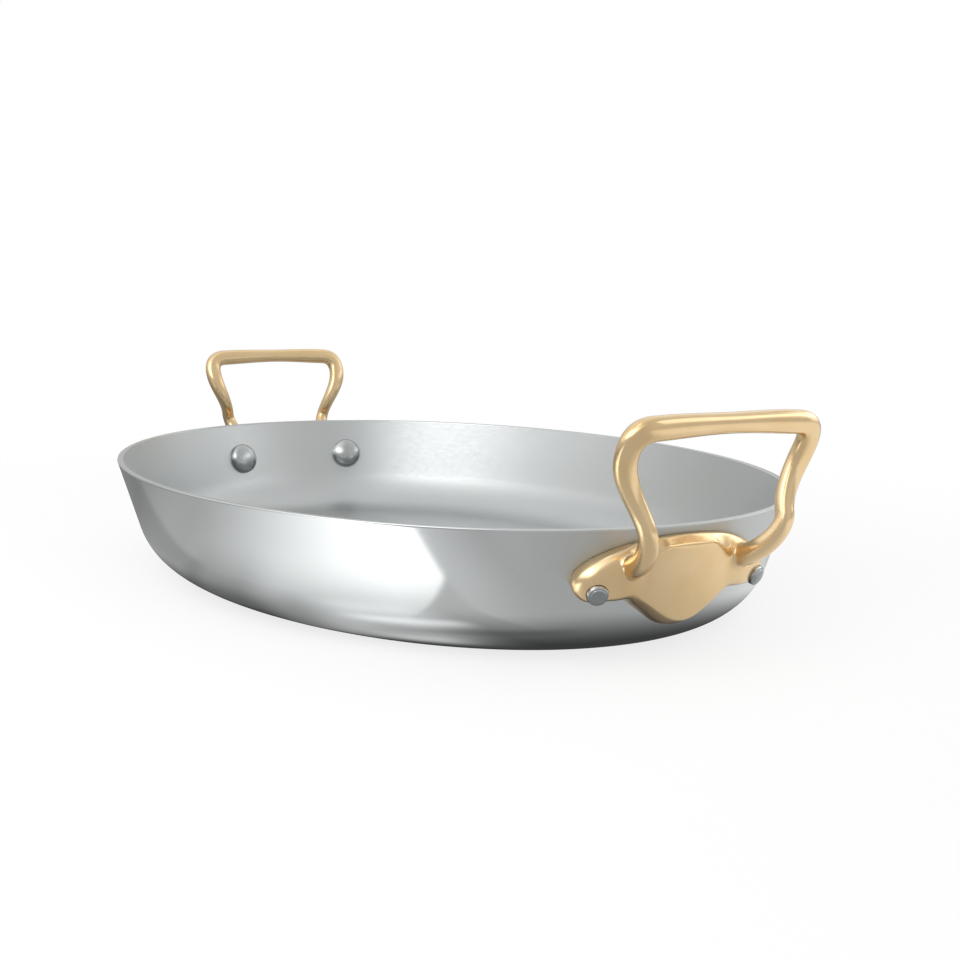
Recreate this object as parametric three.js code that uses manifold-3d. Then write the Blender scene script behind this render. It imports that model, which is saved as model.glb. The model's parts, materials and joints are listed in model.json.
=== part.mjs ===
import * as THREE from 'three';
import { mergeVertices } from 'three/addons/utils/BufferGeometryUtils.js';
import Module from 'manifold-3d';

const wasm = await Module();
wasm.setup();

// Oval pan, in millimetres: X along its length, Z up, origin under the middle of the base.

// Pan body, pressed from one sheet
const rimLength = 350;
const rimWidth = 266;
const rimHeight = 48.5;
const sheetThickness = 2.5;
const wallLean = 17.5; // degrees that the wall flares from upright
const bendRadius = 28; // outside radius between wall and base
const rimEase = 0.4; // softened edges of the cut rim

// Handle plate, cast to lie against the wall
const plateRise = 16; // plate top above the rivets
const lobeDrop = 15.5; // tip of the lower lobe below the rivets
const lobeWidth = 46;
const plateThickness = 7.1;
const fieldTilt = 0.14; // the face leans out less than the wall does
const plateDraft = 2; // the casting widens towards the wall
const plateBevel = 4; // along the field's lower edge
const fieldTopWidth = 19; // flat field's top edge, between its sloping shoulders
const fieldTopDrop = 2; // field's top edge below the plate top
const shoulderSlope = 0.62; // fall of the field's edge along each shoulder
const shoulderThickness = 2.4;
const earRadius = 6.4;
const earLift = 1.6; // ear centre above its rivet
const earShift = 0.6; // ear centre outside its rivet
const earThickness = 8.2;
const earReach = 7; // ears' domes run on towards the feet by this

// Handle loop
const gripWidth = 75; // between the centre lines of the legs, under the corners
const gripRise = 35.4; // bar's centre line above the rim
const gripReach = 17.5; // bar's centre line beyond the end of the rim
const barCamber = 0.7;
const barThickness = 6.8;
const barDepth = 8.6;
const cornerSize = 9; // run and drop of the bend from bar to leg
const cornerThickness = 8;
const cornerFlare = 0.1; // legs spread by this share of their rise under the corners
const cornerTilt = 0.44; // and lean out by this share
const waistPinch = 17.4; // legs drawn in by this just above the rim
const waistRise = 4.2;
const waistReach = 14;
const waistFlare = 0.21; // legs spread by this share of their rise at the waist
const waistTilt = 0.43; // and lean in by this share
const legThickness = 5.9;
const legDepth = 6.3;
const footPinch = 31; // legs drawn in by this where they enter the plate
const footLift = 6.5; // feet above the rivets
const footDepth = 4; // feet sunk below the plate's face
const footThickness = 7.6;

// Rivets
const rivetPinch = 13; // rivets closer together than the legs by this
const rivetAboveBend = 10.4; // from the lower end of the straight wall
const shankDiameter = 6;
const headDiameter = 15.4;
const headRise = 4.4;
const headEdge = 0.7;
const tailDiameter = 7.2;
const tailLength = 3.8;
const tailRound = 1.4;
const seatDepth = 2.3; // flat seat of the tail below the crown of the ear

// Gaps between pieces that bear on each other
const plateClearance = 0.3;
const rivetClearance = 0.3;

// Fineness of the round surfaces
const ovalSegments = 96;
const bendSegments = 7;
const plateSlices = 48;
const roundSegments = 4;
const loopSteps = [12, 8, 8, 4]; // lower leg, upper leg, corner, half the bar
const loopSides = 14;
const rivetSegments = 20;

const lean = THREE.MathUtils.degToRad(wallLean);
const halfLength = rimLength / 2;
const halfWidth = rimWidth / 2;
const waistSpacing = gripWidth - waistPinch;
const footSpacing = gripWidth - footPinch;
const rivetSpacing = gripWidth - rivetPinch;
const straightFrom = bendRadius * (1 - Math.sin(lean));
const rivetHeight = straightFrom + rivetAboveBend;
const tailSeat = plateClearance + earThickness - seatDepth;
const insetAt = (height) => (rimHeight - height) * Math.tan(lean);
const { lerp, smoothstep } = THREE.MathUtils;

// Point at a distance from the wall's straight outer face, at one end of the oval
function onWall(lateral, height, standoff = 0) {
  const inset = insetAt(height);
  const along = (halfLength - inset) * Math.sqrt(1 - (lateral / (halfWidth - inset)) ** 2);
  return new THREE.Vector3(along, lateral, height).addScaledVector(wallNormal(lateral, height), standoff);
}

function wallNormal(lateral, height) {
  const inset = insetAt(height);
  const sine = lateral / (halfWidth - inset);
  const flat = new THREE.Vector2(
    (halfWidth - inset) * Math.sqrt(1 - sine ** 2), (halfLength - inset) * sine).normalize();
  return new THREE.Vector3(flat.x * Math.cos(lean), flat.y * Math.cos(lean), -Math.sin(lean));
}

// Closed surface through rings with the same number of points, with a fan over each end
function loft(rings) {
  const sides = rings[0].length;
  const points = rings.flat();
  const triangles = [];
  for (let ring = 0; ring < rings.length - 1; ring++) {
    for (let side = 0; side < sides; side++) {
      const a = ring * sides + side;
      const b = ring * sides + (side + 1) % sides;
      triangles.push(a, b, b + sides, a, b + sides, a + sides);
    }
  }
  for (const [ring, forward] of [[0, false], [rings.length - 1, true]]) {
    const centre = rings[ring].reduce((sum, p) => sum.add(p), new THREE.Vector3()).divideScalar(sides);
    points.push(centre);
    for (let side = 0; side < sides; side++) {
      const a = ring * sides + side;
      const b = ring * sides + (side + 1) % sides;
      triangles.push(points.length - 1, forward ? a : b, forward ? b : a);
    }
  }
  const geometry = new THREE.BufferGeometry().setFromPoints(points);
  geometry.setIndex(triangles);
  return geometry;
}

function toSolid(geometry, matrix = new THREE.Matrix4()) {
  const bare = geometry.clone().applyMatrix4(matrix);
  bare.deleteAttribute('normal');
  bare.deleteAttribute('uv');
  const merged = mergeVertices(bare);
  return new wasm.Manifold(new wasm.Mesh({
    numProp: 3,
    vertProperties: merged.attributes.position.array,
    triVerts: Uint32Array.from(merged.index.array),
  }));
}

function toGeometry(solid) {
  const { vertProperties, triVerts } = solid.getMesh();
  const geometry = new THREE.BufferGeometry();
  geometry.setAttribute('position', new THREE.BufferAttribute(vertProperties, 3));
  geometry.setIndex(new THREE.BufferAttribute(triVerts, 1));
  return geometry;
}

// Turns Y to the wall's normal at a rivet and moves the origin to the wall's outer face there
function rivetFrame(side) {
  const lateral = side * rivetSpacing / 2;
  const turn = new THREE.Quaternion().setFromUnitVectors(
    new THREE.Vector3(0, 1, 0), wallNormal(lateral, rivetHeight));
  return { position: onWall(lateral, rivetHeight), quaternion: turn };
}

// Round cutter along a rivet's axis, between two distances from the wall
function rivetCutter(side, radius, from, to) {
  const { position, quaternion } = rivetFrame(side);
  const cutter = new THREE.CylinderGeometry(radius, radius, to - from, rivetSegments);
  cutter.translate(0, (from + to) / 2, 0);
  return toSolid(cutter, new THREE.Matrix4().compose(position, quaternion, new THREE.Vector3(1, 1, 1)));
}

const shankHole = (side) =>
  rivetCutter(side, shankDiameter / 2 + rivetClearance, -2 * sheetThickness, 2 * earThickness);

const halfTurn = new THREE.Matrix4().makeRotationZ(Math.PI);

function panBody() {
  const baseInset = insetAt(straightFrom) + bendRadius * Math.cos(lean);
  const wallAcross = sheetThickness / Math.cos(lean);
  const ovalRing = (inset, height) => Array.from({ length: ovalSegments }, (_, i) => {
    const angle = 2 * Math.PI * i / ovalSegments;
    return new THREE.Vector3(
      (halfLength - inset) * Math.cos(angle), (halfWidth - inset) * Math.sin(angle), height);
  });
  const bend = (radius) => Array.from({ length: bendSegments + 1 }, (_, i) => {
    const angle = (Math.PI / 2 - lean) * i / bendSegments;
    return ovalRing(baseInset - radius * Math.sin(angle), bendRadius - radius * Math.cos(angle));
  });
  const rim = [
    ovalRing(insetAt(rimHeight - rimEase), rimHeight - rimEase),
    ovalRing(rimEase, rimHeight),
    ovalRing(wallAcross - rimEase, rimHeight),
    ovalRing(wallAcross + insetAt(rimHeight - rimEase), rimHeight - rimEase),
  ];
  let solid = toSolid(loft([...bend(bendRadius), ...rim, ...bend(bendRadius - sheetThickness).reverse()]));
  for (const side of [-1, 1]) {
    solid = solid.subtract(shankHole(side)).subtract(shankHole(side).transform(halfTurn.elements));
  }
  return toGeometry(solid);
}

// Edges of the plate's outline, seen from the front, as heights at a lateral place
const earHeight = rivetHeight + earLift;
const earCentre = rivetSpacing / 2 + earShift;
const plateEnd = earCentre + earRadius;
const pastEar = (lateral) => Math.max(0, Math.abs(lateral) - earCentre) / earRadius;

function topEdge(lateral) {
  const arch = Math.sqrt(1 - (lateral / plateEnd) ** 2);
  return earHeight + (plateRise - earLift) * arch;
}

function lowEdge(lateral) {
  const ear = earHeight - earRadius * Math.sqrt(1 - pastEar(lateral) ** 2);
  const reach = Math.min(1, Math.abs(2 * lateral / lobeWidth));
  return ear - (lobeDrop + earLift - earRadius) * (1 + Math.cos(Math.PI * reach)) / 2;
}

function fieldTop(lateral) {
  const fall = shoulderSlope * Math.max(0, Math.abs(lateral) - fieldTopWidth / 2);
  return rivetHeight + plateRise - fieldTopDrop - fall;
}

// Slice across the plate: flat field with a sloping shoulder in the middle, domed at the ears
function plateSlice(lateral) {
  const dome = smoothstep(Math.abs(lateral), footSpacing / 2 - earReach, earCentre - earReach);
  const top = topEdge(lateral);
  const low = lowEdge(lateral);
  const thickness = lerp(plateThickness, earThickness * Math.sqrt(1 - 0.9 * pastEar(lateral) ** 2), dome);
  const crest = Math.min(lerp(fieldTop(lateral), (top + low) / 2, dome), top - plateBevel / 4);
  const bevelRise = lerp(plateBevel, (crest - low) / 2, dome);
  const bevelDepth = lerp(plateBevel, 0.8 * thickness, dome);
  const shoulder = lerp(shoulderThickness, 0.2 * thickness, dome);
  const slice = [[low - plateDraft * (1 - dome), 0]];
  for (let i = 0; i <= roundSegments; i++) {
    const share = i / roundSegments;
    const angle = Math.PI / 2 * share;
    const rise = lerp(share, 1 - Math.cos(angle), dome);
    const fall = lerp(1 - share, 1 - Math.sin(angle), dome);
    slice.push([low + bevelRise * rise, thickness - bevelDepth * fall]);
  }
  const faceLow = low + bevelRise;
  slice.push([lerp(faceLow, crest, 0.5), thickness]);
  for (let i = 0; i <= roundSegments; i++) {
    const share = i / roundSegments;
    const angle = Math.PI / 2 * share;
    const rise = lerp(share, Math.sin(angle), dome);
    const fall = lerp(share, 1 - Math.cos(angle), dome);
    slice.push([lerp(crest, top, rise), lerp(thickness, shoulder, fall)]);
  }
  slice.push([top, 0]);
  const tilt = (1 - dome) * fieldTilt / plateThickness;
  return slice.map(([height, standoff]) =>
    onWall(lateral, height, plateClearance + standoff * (1 + tilt * (rivetHeight - height))));
}

function plate() {
  const endShare = 0.97; // the end slices stop just short of the ears' tips
  const slices = Array.from({ length: plateSlices + 1 }, (_, i) => {
    const share = endShare * (1 - 2 * i / plateSlices);
    return plateSlice(plateEnd * Math.sin(Math.PI / 2 * share));
  });
  return loft(slices);
}

// Centre lines of half the loop: out of the plate, up past the waist, round the corner, along the bar
function halfLoopLines() {
  const at = (reach, lateral, height) => new THREE.Vector3(halfLength + reach, lateral, height);
  const footHeight = rivetHeight + footLift;
  const barHeight = rimHeight + gripRise;
  const foot = onWall(footSpacing / 2, footHeight, plateClearance + plateThickness - footDepth);
  const waist = at(waistReach, waistSpacing / 2, rimHeight + waistRise);
  const corner = at(gripReach, gripWidth / 2, barHeight - barCamber);
  const flare = new THREE.Vector3(cornerTilt, cornerFlare, 1);
  const shoulder = corner.clone().addScaledVector(flare, -cornerSize);
  const barEnd = at(gripReach, gripWidth / 2 - cornerSize, barHeight - barCamber);
  const middle = at(gripReach, 0, barHeight);
  const legRise = shoulder.z - waist.z;
  const up = new THREE.Vector3(-waistTilt, waistFlare, 1).multiplyScalar(legRise / 3);
  const out = foot.clone().lerp(at(waistReach, footSpacing / 2, footHeight), 0.5);
  return [
    new THREE.CubicBezierCurve3(foot, out, waist.clone().sub(up), waist),
    new THREE.CubicBezierCurve3(
      waist, waist.clone().add(up), shoulder.clone().addScaledVector(flare, -legRise / 3), shoulder),
    new THREE.QuadraticBezierCurve3(shoulder, corner, barEnd),
    new THREE.QuadraticBezierCurve3(barEnd, barEnd.clone().lerp(middle, 0.5).setZ(barHeight), middle),
  ];
}

// Section of the loop: an oval with soft corners, its depth turned towards the given direction
function loopSection(line, share, outward, [wide, deep]) {
  const along = line.getTangent(share);
  const reach = outward.clone().addScaledVector(along, -outward.dot(along)).normalize();
  const across = reach.clone().cross(along);
  const squareness = 2.4; // 2 is an ellipse
  const bulge = (value) => Math.sign(value) * Math.abs(value) ** (2 / squareness);
  return Array.from({ length: loopSides }, (_, side) => {
    const angle = 2 * Math.PI * side / loopSides;
    return line.getPoint(share)
      .addScaledVector(across, wide / 2 * bulge(Math.cos(angle)))
      .addScaledVector(reach, deep / 2 * bulge(Math.sin(angle)));
  });
}

// Loop, thickest at its corners and where it leaves the plate
function loop() {
  const lines = halfLoopLines();
  const sizes = [
    [footThickness, footThickness], [legThickness, legDepth], [cornerThickness, legDepth],
    [cornerThickness, barDepth], [barThickness, barDepth],
  ];
  const half = lines.flatMap((line, piece) => Array.from({ length: loopSteps[piece] + 1 }, (_, step) => {
    const share = step / loopSteps[piece];
    const size = sizes[piece].map((from, i) => lerp(from, sizes[piece + 1][i], smoothstep(share, 0, 1)));
    const dip = piece === 0 ? (1 - share) / 2 : 0; // the depth turns down where the leg enters the plate
    return loopSection(line, share, new THREE.Vector3(1, 0, -dip), size);
  }).slice(piece === 0 ? 0 : 1));
  const mirrored = half.slice(0, -1).reverse()
    .map((ring) => ring.map((point) => new THREE.Vector3(point.x, -point.y, point.z)));
  return loft([...half, ...mirrored]);
}

function handle() {
  let solid = toSolid(plate()).add(toSolid(loop()));
  for (const side of [-1, 1]) {
    const seat = rivetCutter(side, tailDiameter / 2 + rivetClearance, tailSeat, 3 * earThickness);
    solid = solid.subtract(shankHole(side)).subtract(seat);
  }
  return toGeometry(solid);
}

// Dome head inside, shank through wall and ear, peened tail outside
function rivet() {
  const headRadius = headDiameter / 2;
  const endRadius = (halfWidth - insetAt(rivetHeight)) ** 2 / (halfLength - insetAt(rivetHeight));
  const hollow = endRadius - Math.sqrt(endRadius ** 2 - headRadius ** 2); // the wall curves round the head
  const headFace = -sheetThickness - rivetClearance - hollow;
  const tailFace = tailSeat + rivetClearance;
  const quarter = (i) => Math.PI / 2 * i / roundSegments;
  const profile = [];
  for (let i = 0; i <= roundSegments; i++) {
    profile.push(new THREE.Vector2(
      headRadius * Math.sin(quarter(i)), headFace - headEdge - (headRise - headEdge) * Math.cos(quarter(i))));
  }
  profile.push(
    new THREE.Vector2(headRadius, headFace),
    new THREE.Vector2(shankDiameter / 2, headFace),
    new THREE.Vector2(shankDiameter / 2, tailFace),
    new THREE.Vector2(tailDiameter / 2, tailFace));
  for (let i = 0; i <= roundSegments; i++) {
    profile.push(new THREE.Vector2(
      tailDiameter / 2 - tailRound * (1 - Math.cos(quarter(i))),
      tailFace + tailLength - tailRound * (1 - Math.sin(quarter(i)))));
  }
  profile.push(new THREE.Vector2(0, tailFace + tailLength));
  return new THREE.LatheGeometry(profile, rivetSegments);
}

const polishedSteel = new THREE.MeshStandardMaterial({ color: 0xc8cacb, roughness: 0.16, metalness: 1 });
const castBrass = new THREE.MeshStandardMaterial({ color: 0xd6b67c, roughness: 0.28, metalness: 1 });
const rivetSteel = new THREE.MeshStandardMaterial({ color: 0x9b9d9f, roughness: 0.35, metalness: 1 });

function addMesh(parent, name, geometry, material) {
  const mesh = new THREE.Mesh(geometry, material);
  mesh.name = name;
  parent.add(mesh);
  return mesh;
}

const pan = new THREE.Group();
addMesh(pan, 'pan_body', panBody(), polishedSteel);
for (const [end, turn] of [['front', 0], ['back', Math.PI]]) {
  const fittings = new THREE.Group();
  fittings.rotation.z = turn;
  pan.add(fittings);
  addMesh(fittings, `${end}_handle`, handle(), castBrass);
  for (const [name, side] of [['left', -1], ['right', 1]]) {
    const mesh = addMesh(fittings, `${end}_rivet_${name}`, rivet(), rivetSteel);
    const { position, quaternion } = rivetFrame(side);
    mesh.position.copy(position);
    mesh.quaternion.copy(quaternion);
  }
}

export default pan;
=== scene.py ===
import json
import math

import bmesh
import bpy
from mathutils import Matrix, Vector
from mathutils.bvhtree import BVHTree

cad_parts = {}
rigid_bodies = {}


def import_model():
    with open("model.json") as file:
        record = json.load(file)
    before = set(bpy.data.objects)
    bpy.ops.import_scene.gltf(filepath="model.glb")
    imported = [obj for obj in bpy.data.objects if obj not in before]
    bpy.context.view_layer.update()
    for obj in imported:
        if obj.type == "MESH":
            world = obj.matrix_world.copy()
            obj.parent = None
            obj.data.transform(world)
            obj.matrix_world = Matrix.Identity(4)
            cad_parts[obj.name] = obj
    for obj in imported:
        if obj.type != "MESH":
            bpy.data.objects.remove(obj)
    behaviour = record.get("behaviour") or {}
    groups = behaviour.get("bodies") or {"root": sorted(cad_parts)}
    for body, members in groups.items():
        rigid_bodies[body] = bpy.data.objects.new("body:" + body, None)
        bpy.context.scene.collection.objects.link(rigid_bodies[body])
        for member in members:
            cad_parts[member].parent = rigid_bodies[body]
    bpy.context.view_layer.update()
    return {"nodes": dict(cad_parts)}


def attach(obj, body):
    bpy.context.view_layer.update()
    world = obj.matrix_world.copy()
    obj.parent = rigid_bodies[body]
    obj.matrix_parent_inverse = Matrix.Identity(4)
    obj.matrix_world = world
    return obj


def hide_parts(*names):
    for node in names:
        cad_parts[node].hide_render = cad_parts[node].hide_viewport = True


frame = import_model()
scene = bpy.context.scene
mm = 0.001  # sizes below are in millimetres, the scene is in metres
sharpAngle = math.radians(40)  # edges that turn by more than this are drawn sharp
print("frame loaded:", len(frame["nodes"]), "nodes")


def linear(hexColour):  # sRGB hex to the linear colour that the nodes take
    parts = [int(hexColour[i:i + 2], 16) / 255 for i in (1, 3, 5)]
    return [c / 12.92 if c <= 0.04045 else ((c + 0.055) / 1.055) ** 2.4 for c in parts] + [1]


def addNode(tree, kind, given=None, **settings):  # a node with its settings, values and links
    node = tree.nodes.new(kind)
    for name, value in settings.items():
        setattr(node, name, value)
    for socket, value in (given or {}).items():
        if isinstance(value, bpy.types.NodeSocket):
            tree.links.new(value, node.inputs[socket])
        else:
            node.inputs[socket].default_value = value
    return node


def calc(tree, operation, *values):  # result of a maths node
    return addNode(tree, "ShaderNodeMath", dict(enumerate(values)), operation=operation).outputs[0]


def ramp(tree, value, low, high, start=0, end=1, kind="SMOOTHSTEP"):  # carries a value to another range
    return addNode(tree, "ShaderNodeMapRange", {0: value, 1: low, 2: high, 3: start, 4: end},
                   interpolation_type=kind).outputs[0]


def lerp(start, end, share):
    return start + (end - start) * share


def smoothstep(value, low, high):
    share = min(1, max(0, (value - low) / (high - low)))
    return share * share * (3 - 2 * share)


def plainMesh(obj):  # keeps what the modifiers made as the object's own mesh
    graph = bpy.context.evaluated_depsgraph_get()
    mesh = bpy.data.meshes.new_from_object(obj.evaluated_get(graph))
    obj.modifiers.clear()
    obj.data = mesh
    return mesh


def newObject(name, data):
    obj = bpy.data.objects.new(name, data)
    scene.collection.objects.link(obj)
    return obj


# Camera, at the photograph's place
camera = {
    "azimuth": 61.51, "elevation": 12.29, "distance": 591.59,  # degrees, mm
    "yaw": -1.95, "pitch": -3.8, "roll": 0.91,  # how far it looks past the origin
    "focalPixels": 1315.78, "imagePixels": 960, "sensor": 36, "clipStart": 10,
}


def facing(azimuth, elevation):  # right, up and back of a camera that looks from there
    a, e = math.radians(azimuth), math.radians(elevation)
    back = Vector((math.sin(a) * math.cos(e), -math.cos(a) * math.cos(e), math.sin(e)))
    right = Vector((math.cos(a), math.sin(a), 0))
    return right, back.cross(right), back


def addCamera():
    place = facing(camera["azimuth"], camera["elevation"])[2] * camera["distance"] * mm
    axes = facing(camera["azimuth"] + camera["yaw"], camera["elevation"] + camera["pitch"])
    turn = Matrix(axes).transposed() @ Matrix.Rotation(math.radians(camera["roll"]), 3, "Z")
    data = bpy.data.cameras.new("photoCamera")
    data.sensor_width = camera["sensor"]
    data.lens = camera["focalPixels"] / camera["imagePixels"] * camera["sensor"]
    data.clip_start = camera["clipStart"] * mm
    obj = newObject("photoCamera", data)
    obj.matrix_world = Matrix.Translation(place) @ turn.to_4x4()
    scene.camera = obj


addCamera()
print("camera placed")


# Finishes
noiseRange = (0.3, 0.7)  # where most of a noise texture's grey lies
steel = {
    "colour": "#CED1D2", "warmColour": "#C8CBCA",
    "mirrorRoughness": (0.12, 0.15), "satinRoughness": (0.36, 0.42), "behindLoop": 0.6,
    "loopFrom": (150, 27), "loopFull": (161, 36),  # mm along the pan and up
    "lineSpacing": 0.9,  # polishing lines are nearer 0.1 mm, drawn coarser so that they show
    "lineLength": 40, "meanRadius": 150, "cloudSize": 60,
    "relief": (0.05, 0.01),  # strength, depth in mm
}
brass = {
    "colour": "#EED2A6", "deepColour": "#E8C896", "roughness": (0.2, 0.24),
    "cloudSize": 16, "cloudRange": (0.35, 0.75), "rippleSize": 9, "relief": (0.5, 0.02), "scratchSize": 1.5,
}
rivetSteel = {
    "colour": "#C5C8C8", "darkColour": "#B5B8B8", "paintedShadeColour": "#969A9A",
    "paintedShadeFrom": (0.16, -0.12),  # upward share of the normal where the painted shade on downward faces starts and is full
    "roughness": (0.18, 0.22), "grainSize": 1.6, "dentSize": 2.5, "relief": (0.4, 0.008),
}


def newMaterial(name):
    material = bpy.data.materials.new(name)
    material.use_nodes = True
    tree = material.node_tree
    place = addNode(tree, "ShaderNodeTexCoord").outputs["Object"]
    surface = tree.nodes["Principled BSDF"]
    surface.inputs["Metallic"].default_value = 1
    return material, tree, place, surface


def noiseOf(tree, place, size, detail=2):  # grey noise with features of that size in mm
    given = {"Vector": place, "Scale": 1 / (size * mm), "Detail": detail}
    return addNode(tree, "ShaderNodeTexNoise", given).outputs["Fac"]


def blend(tree, share, first, second):  # a colour between two
    return addNode(tree, "ShaderNodeMix", {0: share, 6: first, 7: second}, data_type="RGBA").outputs[2]


def dress(tree, surface, colour, rough, height, relief):
    strength, depth = relief
    bump = addNode(tree, "ShaderNodeBump", {"Strength": strength, "Distance": depth * mm, "Height": height})
    for socket, value in (("Base Color", colour), ("Roughness", rough), ("Normal", bump.outputs[0])):
        tree.links.new(value, surface.inputs[socket])


def steelFinish(name, roughness, behindLoop=None):
    # Stainless sheet, polished round the pan: neutral grey, faint lines that run along the wall
    material, tree, place, surface = newMaterial(name)
    split = addNode(tree, "ShaderNodeSeparateXYZ", {0: place}).outputs
    angle = calc(tree, "ARCTAN2", split["Y"], split["X"])
    run = calc(tree, "MULTIPLY", angle, steel["meanRadius"] / steel["lineLength"])
    flat = addNode(tree, "ShaderNodeVectorMath", {0: place, 1: (1, 1, 0)}, operation="MULTIPLY").outputs[0]
    reach = addNode(tree, "ShaderNodeVectorMath", {0: flat}, operation="LENGTH").outputs["Value"]
    across = 1 / (steel["lineSpacing"] * mm)
    far = calc(tree, "MULTIPLY", reach, across)
    high = calc(tree, "MULTIPLY", split["Z"], across)
    line = addNode(tree, "ShaderNodeCombineXYZ", {0: run, 1: far, 2: high}).outputs[0]
    lines = addNode(tree, "ShaderNodeTexNoise", {"Vector": line, "Scale": 1, "Detail": 2}).outputs["Fac"]
    cloud = noiseOf(tree, place, steel["cloudSize"])
    colour = blend(tree, cloud, linear(steel["colour"]), linear(steel["warmColour"]))
    rough = ramp(tree, lines, *noiseRange, *roughness, kind="LINEAR")
    if behindLoop:  # a polishing wheel doesn't reach the wall behind a handle, so it mirrors nothing there
        (endFrom, highFrom), (endFull, highFull) = steel["loopFrom"], steel["loopFull"]
        ends = ramp(tree, calc(tree, "ABSOLUTE", split["X"]), endFrom * mm, endFull * mm)
        ends = calc(tree, "MULTIPLY", ends, ramp(tree, split["Z"], highFrom * mm, highFull * mm))
        rough = addNode(tree, "ShaderNodeMix", {0: ends, 2: rough, 3: behindLoop}).outputs[0]
    dress(tree, surface, colour, rough, lines, steel["relief"])
    return material


def brassFinish():
    # Cast brass, polished by hand: soft ripples in its reflections, deeper colour in clouds, fine scratches
    material, tree, place, surface = newMaterial("polishedCastBrass")
    cloud = noiseOf(tree, place, brass["cloudSize"], detail=3)
    cloud = ramp(tree, cloud, *brass["cloudRange"], kind="LINEAR")
    colour = blend(tree, cloud, linear(brass["colour"]), linear(brass["deepColour"]))
    scratch = noiseOf(tree, place, brass["scratchSize"], detail=4)
    rough = ramp(tree, scratch, *noiseRange, *brass["roughness"], kind="LINEAR")
    ripple = noiseOf(tree, place, brass["rippleSize"], detail=1)
    dress(tree, surface, colour, rough, ripple, brass["relief"])
    return material


def rivetFinish():
    # Steel rivets, hammered and then tumbled: satin grey with faint dents, and painted shade on the faces
    # that look down
    material, tree, place, surface = newMaterial("tumbledRivetSteel")
    grain = noiseOf(tree, place, rivetSteel["grainSize"], detail=3)
    colour = blend(tree, grain, linear(rivetSteel["colour"]), linear(rivetSteel["darkColour"]))
    normal = addNode(tree, "ShaderNodeNewGeometry").outputs["Normal"]
    upward = addNode(tree, "ShaderNodeSeparateXYZ", {0: normal}).outputs["Z"]
    # painted shade: faces that look down get a darker colour
    under = ramp(tree, upward, *rivetSteel["paintedShadeFrom"])
    colour = blend(tree, under, colour, linear(rivetSteel["paintedShadeColour"]))
    rough = ramp(tree, grain, *noiseRange, *rivetSteel["roughness"], kind="LINEAR")
    dents = noiseOf(tree, place, rivetSteel["dentSize"], detail=1)
    dress(tree, surface, colour, rough, dents, rivetSteel["relief"])
    return material


mirrorSteel = steelFinish("mirrorPolishedStainless", steel["mirrorRoughness"], steel["behindLoop"])
satinSteel = steelFinish("satinStainless", steel["satinRoughness"])
castBrass = brassFinish()
dullSteel = rivetFinish()
print("finishes made")


# Geometry node trees
seamGap = 0.001  # mm, points of the seam and the middles closer than this are joined


def newTree(name, inputs):
    tree = bpy.data.node_groups.new(name, "GeometryNodeTree")
    tree.is_modifier = True
    for label, kind in inputs.items():
        tree.interface.new_socket(label, in_out="INPUT", socket_type="NodeSocket" + kind)
    tree.interface.new_socket("Geometry", in_out="OUTPUT", socket_type="NodeSocketGeometry")
    return tree, addNode(tree, "NodeGroupInput").outputs


def addTree(obj, tree, values):  # each named input is set by its socket's identifier
    modifier = obj.modifiers.new(tree.name, "NODES")
    modifier.node_group = tree
    for item in tree.interface.items_tree:
        if item.in_out == "INPUT" and item.name in values:
            modifier[item.identifier] = values[item.name]


def change(tree, mesh, kind, given=None):  # the geometry after one node
    return addNode(tree, "GeometryNode" + kind, {"Geometry": mesh, **(given or {})}).outputs[0]


def turnedTree():
    # A profile carried round an oval: its x is added to both half axes, its y is the height
    tree, given = newTree("turnedOnOval", {
        "Profile": "Object", "Half Length": "Float", "Half Width": "Float", "Segments": "Int",
        "Inside Row": "Float", "Outside": "Material", "Inside": "Material"})
    profile = addNode(tree, "GeometryNodeObjectInfo", {"Object": given["Profile"]}).outputs["Geometry"]
    rows = addNode(tree, "GeometryNodeAttributeDomainSize", {"Geometry": profile}).outputs["Point Count"]
    columns = calc(tree, "ADD", given["Segments"], 1)
    grid = addNode(tree, "GeometryNodeMeshGrid", {"Vertices X": rows, "Vertices Y": columns})
    index = addNode(tree, "GeometryNodeInputIndex").outputs[0]
    row = calc(tree, "FLOOR", calc(tree, "DIVIDE", index, columns))
    column = calc(tree, "MODULO", index, columns)
    turn = calc(tree, "MULTIPLY", calc(tree, "DIVIDE", column, given["Segments"]), 2 * math.pi)
    point = addNode(tree, "GeometryNodeInputPosition").outputs[0]
    step = addNode(tree, "GeometryNodeSampleIndex", {"Geometry": profile, "Value": point, "Index": row},
                   data_type="FLOAT_VECTOR").outputs["Value"]
    step = addNode(tree, "ShaderNodeSeparateXYZ", {0: step}).outputs
    x, y = (calc(tree, "MULTIPLY", calc(tree, "ADD", given[half], step["X"]), calc(tree, wave, turn))
            for half, wave in (("Half Length", "COSINE"), ("Half Width", "SINE")))
    place = addNode(tree, "ShaderNodeCombineXYZ", {0: x, 1: y, 2: step["Y"]}).outputs[0]
    mesh = change(tree, grid.outputs["Mesh"], "StoreNamedAttribute", {"Name": "row", "Value": row})
    mesh = change(tree, mesh, "SetPosition", {"Position": place})
    mesh = change(tree, mesh, "MergeByDistance", {"Distance": seamGap * mm})
    mesh = change(tree, mesh, "SetShadeSmooth")
    mesh = change(tree, mesh, "SetMaterial", {"Material": given["Outside"]})
    stored = addNode(tree, "GeometryNodeInputNamedAttribute", {"Name": "row"}).outputs["Attribute"]
    within = addNode(tree, "FunctionNodeCompare", {0: stored, 1: given["Inside Row"]}).outputs[0]
    mesh = change(tree, mesh, "SetMaterial", {"Selection": within, "Material": given["Inside"]})
    addNode(tree, "NodeGroupOutput", {"Geometry": mesh})
    return tree


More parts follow.
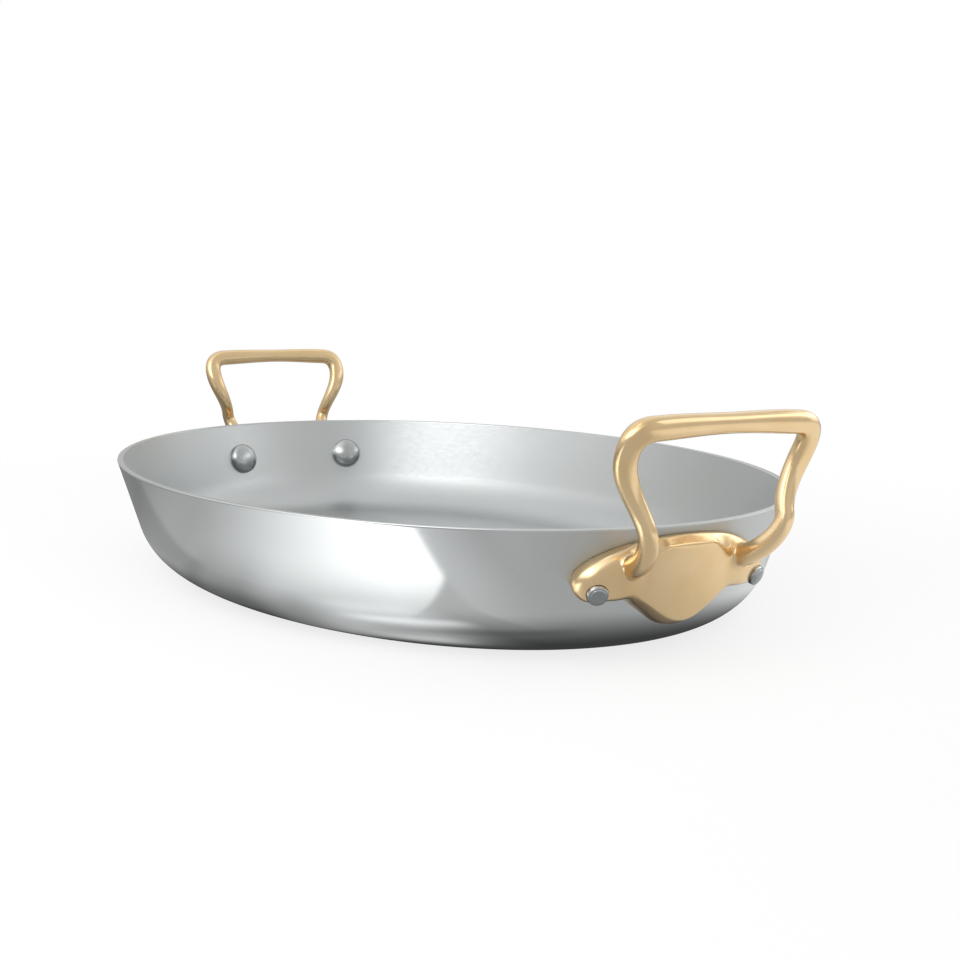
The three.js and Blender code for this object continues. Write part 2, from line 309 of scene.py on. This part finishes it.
def rivetTree():
    # One rivet set on each seat point, turned to the wall's normal there
    tree, given = newTree("rivetsOnWall", {"Geometry": "Geometry", "Rivet": "Object", "Finish": "Material"})
    rivet = addNode(tree, "GeometryNodeObjectInfo", {"Object": given["Rivet"]}).outputs["Geometry"]
    normal = addNode(tree, "GeometryNodeInputNamedAttribute", {"Name": "wallNormal"},
                     data_type="FLOAT_VECTOR").outputs["Attribute"]
    turn = addNode(tree, "FunctionNodeAlignRotationToVector", {"Vector": normal}, axis="Z").outputs[0]
    mesh = addNode(tree, "GeometryNodeInstanceOnPoints",
                   {"Points": given["Geometry"], "Instance": rivet, "Rotation": turn}).outputs[0]
    mesh = change(tree, mesh, "RealizeInstances")
    mesh = change(tree, mesh, "SetMaterial", {"Material": given["Finish"]})
    addNode(tree, "NodeGroupOutput", {"Geometry": mesh})
    return tree


turnedOnOval = turnedTree()


def turned(name, profile, halfLength, halfWidth, segments, insideRow, outside, inside):
    points = bpy.data.meshes.new(name + "Profile")
    points.from_pydata([(x * mm, y * mm, 0) for x, y in profile], [], [])
    guide = newObject(name + "Profile", points)
    obj = newObject(name, bpy.data.meshes.new(name))
    addTree(obj, turnedOnOval, {
        "Profile": guide, "Half Length": halfLength * mm, "Half Width": halfWidth * mm,
        "Segments": segments, "Inside Row": float(insideRow), "Outside": outside, "Inside": inside})
    mesh = plainMesh(obj)
    mesh.attributes.remove(mesh.attributes["row"])
    bpy.data.objects.remove(guide)
    return obj


def outward(mesh):  # faces of a closed shell turned outwards
    shell = bmesh.new()
    shell.from_mesh(mesh)
    bmesh.ops.recalc_face_normals(shell, faces=shell.faces)
    shell.to_mesh(mesh)
    shell.free()


# Pan body: one pressed sheet
pan = {
    "rimLength": 350, "rimWidth": 266, "rimHeight": 48.5, "sheet": 2.5,
    "lean": 17.5, "bendRadius": 28, "baseMargin": 1, "rimEase": 0.45,
    "segments": 288, "bendSteps": 18, "wallSteps": 6, "easeSteps": 4, "baseSteps": 5,
}
lean = math.radians(pan["lean"])
halfLength = pan["rimLength"] / 2
halfWidth = pan["rimWidth"] / 2
straightFrom = pan["bendRadius"] * (1 - math.sin(lean))


def insetAt(height):
    return (pan["rimHeight"] - height) * math.tan(lean)


def panProfile():  # from under the middle, round the rim, to the middle inside
    radius, top, ease = pan["bendRadius"], pan["rimHeight"], pan["rimEase"]
    across = pan["sheet"] / math.cos(lean)
    baseInset = insetAt(straightFrom) + radius * math.cos(lean)

    def face(bend, height, wallShift):  # base, bend and wall up to just under the rim's edge
        points = [(-lerp(halfWidth, baseInset + pan["baseMargin"], i / pan["baseSteps"]), height)
                  for i in range(pan["baseSteps"] + 1)]
        for i in range(pan["bendSteps"] + 1):
            angle = (math.pi / 2 - lean) * i / pan["bendSteps"]
            points.append((bend * math.sin(angle) - baseInset, radius - bend * math.cos(angle)))
        foot = points[-1][1]
        for i in range(1, pan["wallSteps"] + 1):
            level = lerp(foot, top - 2 * ease, i / pan["wallSteps"])
            points.append((-insetAt(level) - wallShift, level))
        return points

    def edge(reach, sign):  # quarter round of the rim's edge
        turns = [math.pi / 2 * i / pan["easeSteps"] for i in range(pan["easeSteps"] + 1)]
        return [(reach + sign * ease * (math.cos(t) - 1), top - ease * (1 - math.sin(t))) for t in turns]

    outer = face(radius, 0, 0) + edge(-insetAt(top - ease), 1)
    inner = face(radius - pan["sheet"], pan["sheet"], across) + edge(-across - insetAt(top - ease), -1)
    return outer + inner[::-1], len(outer) + pan["easeSteps"]


profile, insideRow = panProfile()
panBody = turned("panBody", profile, halfLength, halfWidth, pan["segments"], insideRow,
                 mirrorSteel, satinSteel)
outward(panBody.data)
print("pan body:", len(panBody.data.polygons), "faces")


# Places on the wall's outer face, at the front end of the oval
def wallNormal(lateral, height):
    length, width = halfLength - insetAt(height), halfWidth - insetAt(height)
    sine = lateral / width
    flat = Vector((width * math.sqrt(1 - sine ** 2), length * sine)).normalized()
    return Vector((flat.x * math.cos(lean), flat.y * math.cos(lean), -math.sin(lean)))


def onWall(lateral, height, standoff=0):
    inset = insetAt(height)
    along = (halfLength - inset) * math.sqrt(1 - (lateral / (halfWidth - inset)) ** 2)
    return Vector((along, lateral, height)) + wallNormal(lateral, height) * standoff


# Rivets, and the plate that their tails sit on
rivet = {
    "spacing": 62, "aboveBend": 10.4, "shank": 6, "head": 15.4, "headRise": 4.4, "headEdge": 0.7,
    "tail": 7.2, "tailLength": 3.8, "tailChamfer": 0.2, "tailBevel": 0.9, "tailLand": 0.1, "tailCrown": 0.5,
    "seatDepth": 2.3, "clearance": 0.3, "segments": 48, "steps": 8,
}
plate = {
    "rise": 16, "lobeDrop": 15.5, "lobeWidth": 46, "thickness": 7.1, "draft": 2, "bevel": 4,
    "fieldTopWidth": 19, "fieldTopDrop": 2, "fieldTilt": 0.14,
    "shoulderSlope": 0.62, "shoulderThickness": 2.4,
    "earRadius": 6.4, "earLift": 1.6, "earShift": 0.6, "earThickness": 8.2, "earReach": 7,
    "earFall": 0.9, "earRound": 0.8, "earEdge": 0.2,  # thinning at its end, shares of its thickness
    "clearance": 0.3, "slices": 180, "roundSteps": 10, "faceSteps": 8, "endShare": 0.985,
}
rivetHeight = straightFrom + rivet["aboveBend"]
tailSeat = plate["clearance"] + plate["earThickness"] - rivet["seatDepth"]


def rivetProfile():  # dome head inside the pan, shank, hammered tail outside
    radius, tail = rivet["head"] / 2, rivet["tail"] / 2
    endRadius = (halfWidth - insetAt(rivetHeight)) ** 2 / (halfLength - insetAt(rivetHeight))
    hollow = endRadius - math.sqrt(endRadius ** 2 - radius ** 2)  # the wall curves round the head
    headFace = -pan["sheet"] - rivet["clearance"] / 4 - hollow
    tailFace = tailSeat + rivet["clearance"] / 4
    quarter = [math.pi / 2 * i / rivet["steps"] for i in range(rivet["steps"] + 1)]
    dome = rivet["headRise"] - rivet["headEdge"]
    points = [(radius * math.sin(t), headFace - rivet["headEdge"] - dome * math.cos(t)) for t in quarter]
    points += [(radius, headFace), (rivet["shank"] / 2, headFace), (rivet["shank"] / 2, tailFace)]
    bevel, crown, chamfer = rivet["tailBevel"], rivet["tailCrown"], rivet["tailChamfer"]
    top, flat = tailFace + rivet["tailLength"], tail - bevel
    points += [(tail - chamfer, tailFace), (tail, tailFace + chamfer)]
    points.append((tail, top - bevel - crown - rivet["tailLand"]))
    points += [(tail - bevel * (1 - math.cos(t)), top - crown - bevel * (1 - math.sin(t))) for t in quarter]
    points += [(flat * math.cos(t), top - crown * (1 - math.sin(t))) for t in quarter[1:]]
    return points


def makeRivets():
    outline = rivetProfile()
    shape = turned("rivetShape", outline, 0, 0, rivet["segments"], len(outline), dullSteel, dullSteel)
    outward(shape.data)
    seats, normals = [], []
    for turn in (1, -1):  # front handle, then back handle
        for side in (-1, 1):
            lateral = side * rivet["spacing"] / 2
            flip = Vector((turn, turn, 1))
            seats.append(onWall(lateral, rivetHeight) * flip * mm)
            normals.append(wallNormal(lateral, rivetHeight) * flip)
    points = bpy.data.meshes.new("rivets")
    points.from_pydata(seats, [], [])
    points.attributes.new("wallNormal", "FLOAT_VECTOR", "POINT")
    points.attributes["wallNormal"].data.foreach_set("vector", [c for n in normals for c in n])
    obj = newObject("rivets", points)
    addTree(obj, rivetTree(), {"Rivet": shape, "Finish": dullSteel})
    mesh = plainMesh(obj)
    bpy.data.objects.remove(shape)
    mesh.set_sharp_from_angle(angle=sharpAngle)
    return obj


rivets = makeRivets()
print("rivets:", len(rivets.data.polygons), "faces")


# Handles: a loop and a plate in one casting
loop = {
    "gripWidth": 75, "gripRise": 35.4, "gripReach": 17.5,
    "barCamber": 0.7, "barThickness": 6.8, "barDepth": 8.6,
    "cornerSize": 9, "cornerThickness": 8, "cornerFlare": 0.1, "cornerTilt": 0.44,
    "waistSpacing": 57.6, "waistRise": 4.2, "waistReach": 14, "waistFlare": 0.21, "waistTilt": 0.43,
    "legThickness": 5.9, "legDepth": 6.3, "footSpacing": 44, "footLift": 6.5, "footDepth": 4,
    "footThickness": 7.6, "squareness": 2.4, "steps": (40, 32, 24, 24), "sides": 40,
}
casting = {
    "voxel": 0.45, "polish": 8, "filletReach": 2.6, "filletCore": 0.3, "filletPasses": 40, "smoothing": 0.5,
    "shankCut": (-4, 20), "tailCutTo": 25,  # along the rivet, from the wall's face
}
earHeight = rivetHeight + plate["earLift"]
earCentre = rivet["spacing"] / 2 + plate["earShift"]
plateEnd = earCentre + plate["earRadius"]


def plateSlice(lateral):  # heights and standoffs round the plate at one place across it
    far = abs(lateral)
    pastEar = max(0, far - earCentre) / plate["earRadius"]
    dome = smoothstep(far, loop["footSpacing"] / 2 - plate["earReach"], earCentre - plate["earReach"])
    top = earHeight + (plate["rise"] - plate["earLift"]) * math.sqrt(1 - (lateral / plateEnd) ** 2)
    drop = plate["lobeDrop"] + plate["earLift"] - plate["earRadius"]
    lobe = drop * (1 + math.cos(math.pi * min(1, 2 * far / plate["lobeWidth"]))) / 2
    low = earHeight - plate["earRadius"] * math.sqrt(1 - pastEar ** 2) - lobe
    fall = plate["shoulderSlope"] * max(0, far - plate["fieldTopWidth"] / 2)
    fieldTop = rivetHeight + plate["rise"] - plate["fieldTopDrop"] - fall
    ear = plate["earThickness"] * math.sqrt(1 - plate["earFall"] * pastEar ** 2)
    thick = lerp(plate["thickness"], ear, dome)
    crest = min(lerp(fieldTop, (top + low) / 2, dome), top - plate["bevel"] / 4)
    bevelRise = lerp(plate["bevel"], (crest - low) / 2, dome)
    bevelDepth = lerp(plate["bevel"], plate["earRound"] * thick, dome)
    shoulder = lerp(plate["shoulderThickness"], plate["earEdge"] * thick, dome)
    slices = [(low - plate["draft"] * (1 - dome), 0)]
    shares = [i / plate["roundSteps"] for i in range(plate["roundSteps"] + 1)]
    for share in shares:
        angle = math.pi / 2 * share
        up = lerp(share, 1 - math.cos(angle), dome)
        down = lerp(1 - share, 1 - math.sin(angle), dome)
        slices.append((low + bevelRise * up, thick - bevelDepth * down))
    for i in range(1, plate["faceSteps"]):
        slices.append((lerp(low + bevelRise, crest, i / plate["faceSteps"]), thick))
    for share in shares:
        angle = math.pi / 2 * share
        up = lerp(share, math.sin(angle), dome)
        down = lerp(share, 1 - math.cos(angle), dome)
        slices.append((lerp(crest, top, up), lerp(thick, shoulder, down)))
    slices.append((top, 0))
    tilt = (1 - dome) * plate["fieldTilt"] / plate["thickness"]
    return [onWall(lateral, height, plate["clearance"] / 3 + out * (1 + tilt * (rivetHeight - height)))
            for height, out in slices]


def plateRings():
    shares = [plate["endShare"] * (1 - 2 * i / plate["slices"]) for i in range(plate["slices"] + 1)]
    return [plateSlice(plateEnd * math.sin(math.pi / 2 * share)) for share in shares]


def bezier(points, share):  # point and direction on a Bezier curve of any degree
    level = list(points)
    while len(level) > 2:
        level = [a.lerp(b, share) for a, b in zip(level, level[1:])]
    return level[0].lerp(level[1], share), (level[1] - level[0]).normalized()


def halfLoopLines():  # out of the plate, up past the waist, round the corner, along the bar
    def at(reach, lateral, height):
        return Vector((halfLength + reach, lateral, height))

    footHeight = rivetHeight + loop["footLift"]
    barHeight = pan["rimHeight"] + loop["gripRise"]
    half, reach, size = loop["gripWidth"] / 2, loop["gripReach"], loop["cornerSize"]
    endHeight = barHeight - loop["barCamber"]
    sunk = plate["clearance"] + plate["thickness"] - loop["footDepth"]
    foot = onWall(loop["footSpacing"] / 2, footHeight, sunk)
    waist = at(loop["waistReach"], loop["waistSpacing"] / 2, pan["rimHeight"] + loop["waistRise"])
    corner = at(reach, half, endHeight)
    flare = Vector((loop["cornerTilt"], loop["cornerFlare"], 1))
    shoulder = corner - flare * size
    barEnd = at(reach, half - size, endHeight)
    middle = at(reach, 0, barHeight)
    legRise = shoulder.z - waist.z
    up = Vector((-loop["waistTilt"], loop["waistFlare"], 1)) * legRise / 3
    out = foot.lerp(at(loop["waistReach"], loop["footSpacing"] / 2, footHeight), 0.5)
    bend = barEnd.lerp(middle, 0.5)
    bend.z = barHeight
    return [
        [foot, out, waist - up, waist],
        [waist, waist + up, shoulder - flare * legRise / 3, shoulder],
        [shoulder, corner, barEnd],
        [barEnd, bend, middle],
    ]


def loopRings():
    lines = halfLoopLines()
    leg, corner = loop["legThickness"], loop["cornerThickness"]
    sizes = [(loop["footThickness"],) * 2, (leg, loop["legDepth"]), (corner, loop["legDepth"]),
             (corner, loop["barDepth"]), (loop["barThickness"], loop["barDepth"])]

    def bulge(value):
        return math.copysign(abs(value) ** (2 / loop["squareness"]), value)

    rings = []
    for piece, line in enumerate(lines):
        for step in range(0 if piece == 0 else 1, loop["steps"][piece] + 1):
            share = step / loop["steps"][piece]
            ease = smoothstep(share, 0, 1)
            wide, deep = (lerp(a, b, ease) for a, b in zip(sizes[piece], sizes[piece + 1]))
            centre, along = bezier(line, share)
            dip = (1 - share) / 2 if piece == 0 else 0  # depth turns down where the leg enters the plate
            reach = Vector((1, 0, -dip))
            reach = (reach - along * reach.dot(along)).normalized()
            across = reach.cross(along)
            turns = [2 * math.pi * i / loop["sides"] for i in range(loop["sides"])]
            rings.append([
                centre + across * wide / 2 * bulge(math.cos(t)) + reach * deep / 2 * bulge(math.sin(t))
                for t in turns])
    mirrored = [[Vector((p.x, -p.y, p.z)) for p in ring] for ring in reversed(rings[:-1])]
    return rings + mirrored


def lofted(name, rings):  # closed skin through rings with the same number of points
    sides, last = len(rings[0]), (len(rings) - 1) * len(rings[0])
    faces = []
    for start in range(0, last, sides):
        for i in range(sides):
            a, b = start + i, start + (i + 1) % sides
            faces.append((a, b, b + sides, a + sides))
    faces += [tuple(range(sides))[::-1], tuple(range(last, last + sides))]
    mesh = bpy.data.meshes.new(name)
    mesh.from_pydata([p * mm for ring in rings for p in ring], [], faces)
    outward(mesh)
    return mesh


def cutRivetSeats(obj):  # shank holes and the flat seats of the rivet tails
    for side in (-1, 1):
        lateral = side * rivet["spacing"] / 2
        normal = wallNormal(lateral, rivetHeight)
        turn = Vector((0, 0, 1)).rotation_difference(normal).to_matrix().to_4x4()
        for diameter, low, high in (
                (rivet["shank"], *casting["shankCut"]), (rivet["tail"], tailSeat, casting["tailCutTo"])):
            radius = (diameter + rivet["clearance"]) / 2 * mm
            cutter = bmesh.new()
            bmesh.ops.create_cone(cutter, cap_ends=True, segments=rivet["segments"],
                                  radius1=radius, radius2=radius, depth=(high - low) * mm)
            mesh = bpy.data.meshes.new("cutter")
            cutter.to_mesh(mesh)
            cutter.free()
            place = onWall(lateral, rivetHeight, (low + high) / 2) * mm
            mesh.transform(Matrix.Translation(place) @ turn)
            tool = newObject("cutter", mesh)
            cut = obj.modifiers.new("seat", "BOOLEAN")
            cut.operation, cut.solver, cut.object = "DIFFERENCE", "EXACT", tool
            plainMesh(obj)
            bpy.data.objects.remove(tool)


def makeHandle():
    parts = [lofted("plate", plateRings()), lofted("loop", loopRings())]
    trees = []
    both = bmesh.new()
    for part in parts:
        both.from_mesh(part)
        skin = bmesh.new()
        skin.from_mesh(part)
        trees.append(BVHTree.FromBMesh(skin))
        skin.free()
    mesh = bpy.data.meshes.new("frontHandle")
    both.to_mesh(mesh)
    both.free()
    obj = newObject("frontHandle", mesh)
    cast = obj.modifiers.new("cast", "REMESH")  # plate and loop run into one skin
    cast.mode, cast.voxel_size, cast.use_smooth_shade = "VOXEL", casting["voxel"] * mm, True
    mesh = plainMesh(obj)
    group = obj.vertex_groups.new(name="fillet")  # strongest where plate and loop meet
    reach = casting["filletReach"] * mm
    for vertex in mesh.vertices:
        far = max(tree.find_nearest(vertex.co)[3] for tree in trees)
        weight = 1 - smoothstep(far, casting["filletCore"] * reach, reach)
        if weight > 0:
            group.add([vertex.index], weight, "REPLACE")
    for name, passes in (("", casting["polish"]), ("fillet", casting["filletPasses"])):
        smooth = obj.modifiers.new("smooth", "SMOOTH")
        smooth.factor, smooth.iterations, smooth.vertex_group = casting["smoothing"], passes, name
    plainMesh(obj)
    obj.vertex_groups.clear()
    cutRivetSeats(obj)
    mesh = obj.data
    mesh.materials.clear()
    mesh.materials.append(castBrass)
    mesh.shade_smooth()
    mesh.set_sharp_from_angle(angle=sharpAngle)
    return obj


frontHandle = makeHandle()
backMesh = frontHandle.data.copy()
backMesh.transform(Matrix.Rotation(math.pi, 4, "Z"))
backHandle = newObject("backHandle", backMesh)
print("handles:", len(backMesh.polygons), "faces each")


# What each piece rides on and stands for, with its finish slot listed but not used; the nodes it stands for
# are hidden
rivetNodes = [f"{end}_rivet_{side}" for end in ("front", "back") for side in ("left", "right")]
for piece, slot, nodes in (
        (panBody, "pan_steel", ["pan_body"]), (frontHandle, "handle_brass", ["front_handle"]),
        (backHandle, "handle_brass", ["back_handle"]), (rivets, "rivet_steel", rivetNodes)):
    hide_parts(*nodes)
    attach(piece, "root")
print("pieces ride on root")


# Studio: pale floor, soft lamps, room light, and a glowing grey table, painted with pools of light and
# painted shade, that only the metal sees
studio = {
    "floorSize": 6000, "floorDrop": 0.2, "floorColour": "#F7F7F7",
    "floorGlow": (0.8, 1), "floorFade": (240, 500),  # nearest the pan, far from it
    "lamps": {  # place, aim and size in mm, spread in degrees, radiance straight ahead
        "sideSoftbox": ((209, 193, 154), (176, 5, 44), (150, 150), 100, 1.1),
        "handleSoftbox": ((247, 69, 174), (176, 10, 42), (80, 80), 90, 1.2),
        "barSoftbox": ((132, -93, 319), (172, -28, 80), (60, 60), 60, 1.3),
    },
    "cards": {  # overhead and soft edged: centre, inner and outer radius in mm, gain
        "keyCard": ((175, -570, 385), 130, 490, 2.25),
        "topCard": ((-170, -190, 385), 80, 300, 0.45),
        "leftCard": ((-400, -720, 385), 200, 700, 0.55),
        "sideCard": ((340, 690, 385), 150, 450, 0.85),
        "backCard": ((-300, 950, 385), 300, 1000, 0.5),
    },
    "roomGrey": 0.58, "ceiling": 0.7, "ceilingFrom": (0.55, 0.95),  # upward share of the view
    "patches": [  # azimuth, elevation, inner and outer radius in degrees, gain
        (-70, 54, 8, 32, 0.2), (22, 24, 5, 35, 0.1), (165, 50, 10, 40, 0.25),
    ],
}


def addLamp(name, place, aim, size, spread, radiance):
    place, aim, size = Vector(place) * mm, Vector(aim) * mm, [c * mm for c in size]
    half = math.radians(spread) / 2
    narrowing = math.tan(half) / (math.tan(half) - half)  # a grid keeps the power and narrows the beam
    lamp = bpy.data.lights.new(name, "AREA")
    lamp.shape, lamp.size, lamp.size_y = "RECTANGLE", *size
    lamp.spread = 2 * half
    lamp.energy = radiance * math.pi * size[0] * size[1] / narrowing
    obj = newObject(name, lamp)
    turn = (place - aim).to_track_quat("Z", "Y").to_matrix().to_4x4()
    obj.matrix_world = Matrix.Translation(place) @ turn
    obj.visible_camera = False


def flatSheet(name, centre, half):  # a level square with an empty material
    corners = [(-half, -half), (half, -half), (half, half), (-half, half)]
    mesh = bpy.data.meshes.new(name)
    mesh.from_pydata([(centre.x + x, centre.y + y, centre.z) for x, y in corners], [], [(0, 1, 2, 3)])
    obj = newObject(name, mesh)
    material = bpy.data.materials.new(name)
    material.use_nodes = True
    tree = material.node_tree
    tree.nodes.clear()
    mesh.materials.append(material)
    return obj, tree, addNode(tree, "ShaderNodeTexCoord").outputs["Object"]


def addFloor():
    under = Vector((0, 0, -studio["floorDrop"] * mm))
    floor, tree, place = flatSheet("paleFloor", under, studio["floorSize"] / 2 * mm)
    glow = addNode(tree, "ShaderNodeEmission", {"Strength": 1}).outputs[0]
    matt = addNode(tree, "ShaderNodeBsdfDiffuse", {"Color": linear(studio["floorColour"])}).outputs[0]
    away = addNode(tree, "ShaderNodeVectorMath", {0: place}, operation="LENGTH").outputs["Value"]
    share = ramp(tree, away, *[c * mm for c in studio["floorFade"]], *studio["floorGlow"])
    share = calc(tree, "MULTIPLY", addNode(tree, "ShaderNodeLightPath").outputs["Is Camera Ray"], share)
    both = addNode(tree, "ShaderNodeMixShader", {0: share, 1: matt, 2: glow}).outputs[0]
    addNode(tree, "ShaderNodeOutputMaterial", {0: both})
    floor.visible_glossy = False


def addCard(name, centre, inner, outer, gain):
    # Overhead softbox without a hard edge, brightest in its middle
    centre, far = Vector(centre) * mm, outer * mm
    sheet, tree, place = flatSheet(name, centre, far)
    away = addNode(tree, "ShaderNodeVectorMath", {0: place, 1: centre}, operation="DISTANCE")
    level = ramp(tree, away.outputs["Value"], inner * mm, far, gain, 0)
    glow = addNode(tree, "ShaderNodeEmission", {"Strength": level}).outputs[0]
    clear = addNode(tree, "ShaderNodeBsdfTransparent").outputs[0]
    both = addNode(tree, "ShaderNodeAddShader", {0: clear, 1: glow}).outputs[0]
    addNode(tree, "ShaderNodeOutputMaterial", {0: both})
    sheet.visible_camera = sheet.visible_shadow = False


# The glowing table that the polished wall mirrors, a painted reflection with painted light and painted
# shade, x and y in mm, reach in half sizes of the pan's base
table = {
    "size": 3000, "drop": 0.1, "baseHalf": (139, 97),
    "grey": (0.36, 0.56), "greyFrom": (-180, -40),
    # painted shadow: the table darkens close to the pan's base
    "paintedContactShadowGrey": 0.1, "paintedContactShadow": (1.08, 1.32),
    "rise": (-35, 130), "risePower": 1.7,  # how the pool of light grows along the pan
    "slants": {"corner": 0.46, "line": -0.119},  # across plus this much of along
}
near = ("y", -20, -40)
tableLight = {  # painted light and painted shade on the table, each a level, then its soft edges: axis, where it starts, where it is full
    "front": (0.42, ("y", -10, 110), ("x", 60, 150)),
    "rear": (0.22, ("y", -55, 10), ("x", -90, -150)),
    "pool": (1.5, ("x", 155, 153), ("reach", 1.2, 1.62), ("corner", -25, -29)),
    "beyond": (0.25, ("x", 153, 155), ("x", 189, 154), ("y", -30, -98)),
    "fill": (0.14, ("corner", -29, -25), ("x", 100, 125), ("x", 155, 153), ("reach", 1.26, 1.4), near),
    "sheen": (0.45, ("x", 75, 108), ("x", 145, 122), ("reach", 1.06, 1.14), ("reach", 1.42, 1.3), near),
    "streak": (0.45, ("x", 90, 115), ("x", 146, 136), ("reach", 1.19, 1.23), ("reach", 1.27, 1.23), near),
    "glint": (0.3, ("x", 97, 118), ("x", 136, 122), ("reach", 1.08, 1.11), ("reach", 1.15, 1.115), near),
    "foot": (0.18, ("x", 48, 84), ("x", 112, 90), ("reach", 1.06, 1.1), ("reach", 1.3, 1.15), near),
    # painted shade: a dark strip, a thin dark line under the streak, and a darker part left of the pool
    "shade": (0.27, ("line", -141, -139), ("x", 15, -10)),
    "ring": (0.25, ("x", 102, 130), ("reach", 1.145, 1.17), ("reach", 1.2, 1.175), near),
    "hollow": (0.36, ("x", -20, 5), ("x", 68, 38), ("reach", 1.12, 1.2), ("reach", 1.7, 1.2), near),
}


def addTable():
    # Glowing grey, with painted shadow close to the pan, and a painted pool of light and thin painted lines
    # of light beside the near wall
    under = Vector((0, 0, -table["drop"] * mm))
    sheet, tree, place = flatSheet("mirroredTable", under, table["size"] / 2 * mm)
    shrink = [1 / (c * mm) for c in table["baseHalf"]] + [0]
    oval = addNode(tree, "ShaderNodeVectorMath", {0: place, 1: shrink}, operation="MULTIPLY").outputs[0]
    reach = addNode(tree, "ShaderNodeVectorMath", {0: oval}, operation="LENGTH").outputs["Value"]
    split = addNode(tree, "ShaderNodeSeparateXYZ", {0: place}).outputs
    x, y = (calc(tree, "MULTIPLY", split[axis], 1 / mm) for axis in ("X", "Y"))
    axes = {"x": x, "y": y, "reach": reach}
    for name, slant in table["slants"].items():
        axes[name] = calc(tree, "MULTIPLY_ADD", x, slant, y)

    def patch(name):
        level, *edges = tableLight[name]
        for axis, start, full in edges:
            level = calc(tree, "MULTIPLY", level, ramp(tree, axes[axis], start, full))
        return level

    light = ramp(tree, x, *table["greyFrom"], *table["grey"])
    for name in ("front", "rear"):
        light = calc(tree, "ADD", light, patch(name))
    # painted shadow of the pan close to its base
    light = calc(tree, "MULTIPLY", light, ramp(tree, reach, *table["paintedContactShadow"], table["paintedContactShadowGrey"], 1))
    rise = calc(tree, "POWER", ramp(tree, x, *table["rise"], kind="LINEAR"), table["risePower"])
    light = calc(tree, "MULTIPLY_ADD", rise, patch("pool"), light)
    # painted light: lines of light, a glint, a sheen and a fill beside the near wall
    for name in ("beyond", "fill", "sheen", "streak", "glint", "foot"):
        light = calc(tree, "ADD", light, patch(name))
    # painted shade darkens the table's light
    for name in ("shade", "ring", "hollow"):
        light = calc(tree, "MULTIPLY", light, calc(tree, "SUBTRACT", 1, patch(name)))
    glow = addNode(tree, "ShaderNodeEmission", {"Strength": light}).outputs[0]
    addNode(tree, "ShaderNodeOutputMaterial", {0: glow})
    sheet.visible_camera = sheet.visible_diffuse = sheet.visible_shadow = False


def addWorld():
    # Room light: grey walls with soft bright patches, a brighter ceiling, plain white behind the pan
    world = bpy.data.worlds.new("studioRoom")
    scene.world = world
    world.use_nodes = True
    tree = world.node_tree
    toward = addNode(tree, "ShaderNodeTexCoord").outputs["Generated"]
    height = addNode(tree, "ShaderNodeSeparateXYZ", {0: toward}).outputs["Z"]
    level = ramp(tree, height, *studio["ceilingFrom"], studio["roomGrey"], studio["ceiling"])
    for azimuth, elevation, inner, outer, gain in studio["patches"]:
        centre = facing(azimuth + 90, elevation)[2]
        cosine = addNode(tree, "ShaderNodeVectorMath", {0: toward, 1: centre}, operation="DOT_PRODUCT")
        low, high = math.cos(math.radians(outer)), math.cos(math.radians(inner))
        level = calc(tree, "ADD", level, ramp(tree, cosine.outputs["Value"], low, high, 0, gain))
    seen = addNode(tree, "ShaderNodeLightPath").outputs["Is Camera Ray"]
    level = addNode(tree, "ShaderNodeMix", {0: seen, 2: level, 3: 1.0}).outputs[0]
    tree.links.new(level, tree.nodes["Background"].inputs["Strength"])
    tree.nodes["Background"].inputs["Color"].default_value = (1, 1, 1, 1)


for name, values in studio["lamps"].items():
    addLamp(name, *values)
for name, values in studio["cards"].items():
    addCard(name, *values)
addFloor()
addTable()
addWorld()
scene.view_settings.view_transform = "Standard"
print("studio lit")
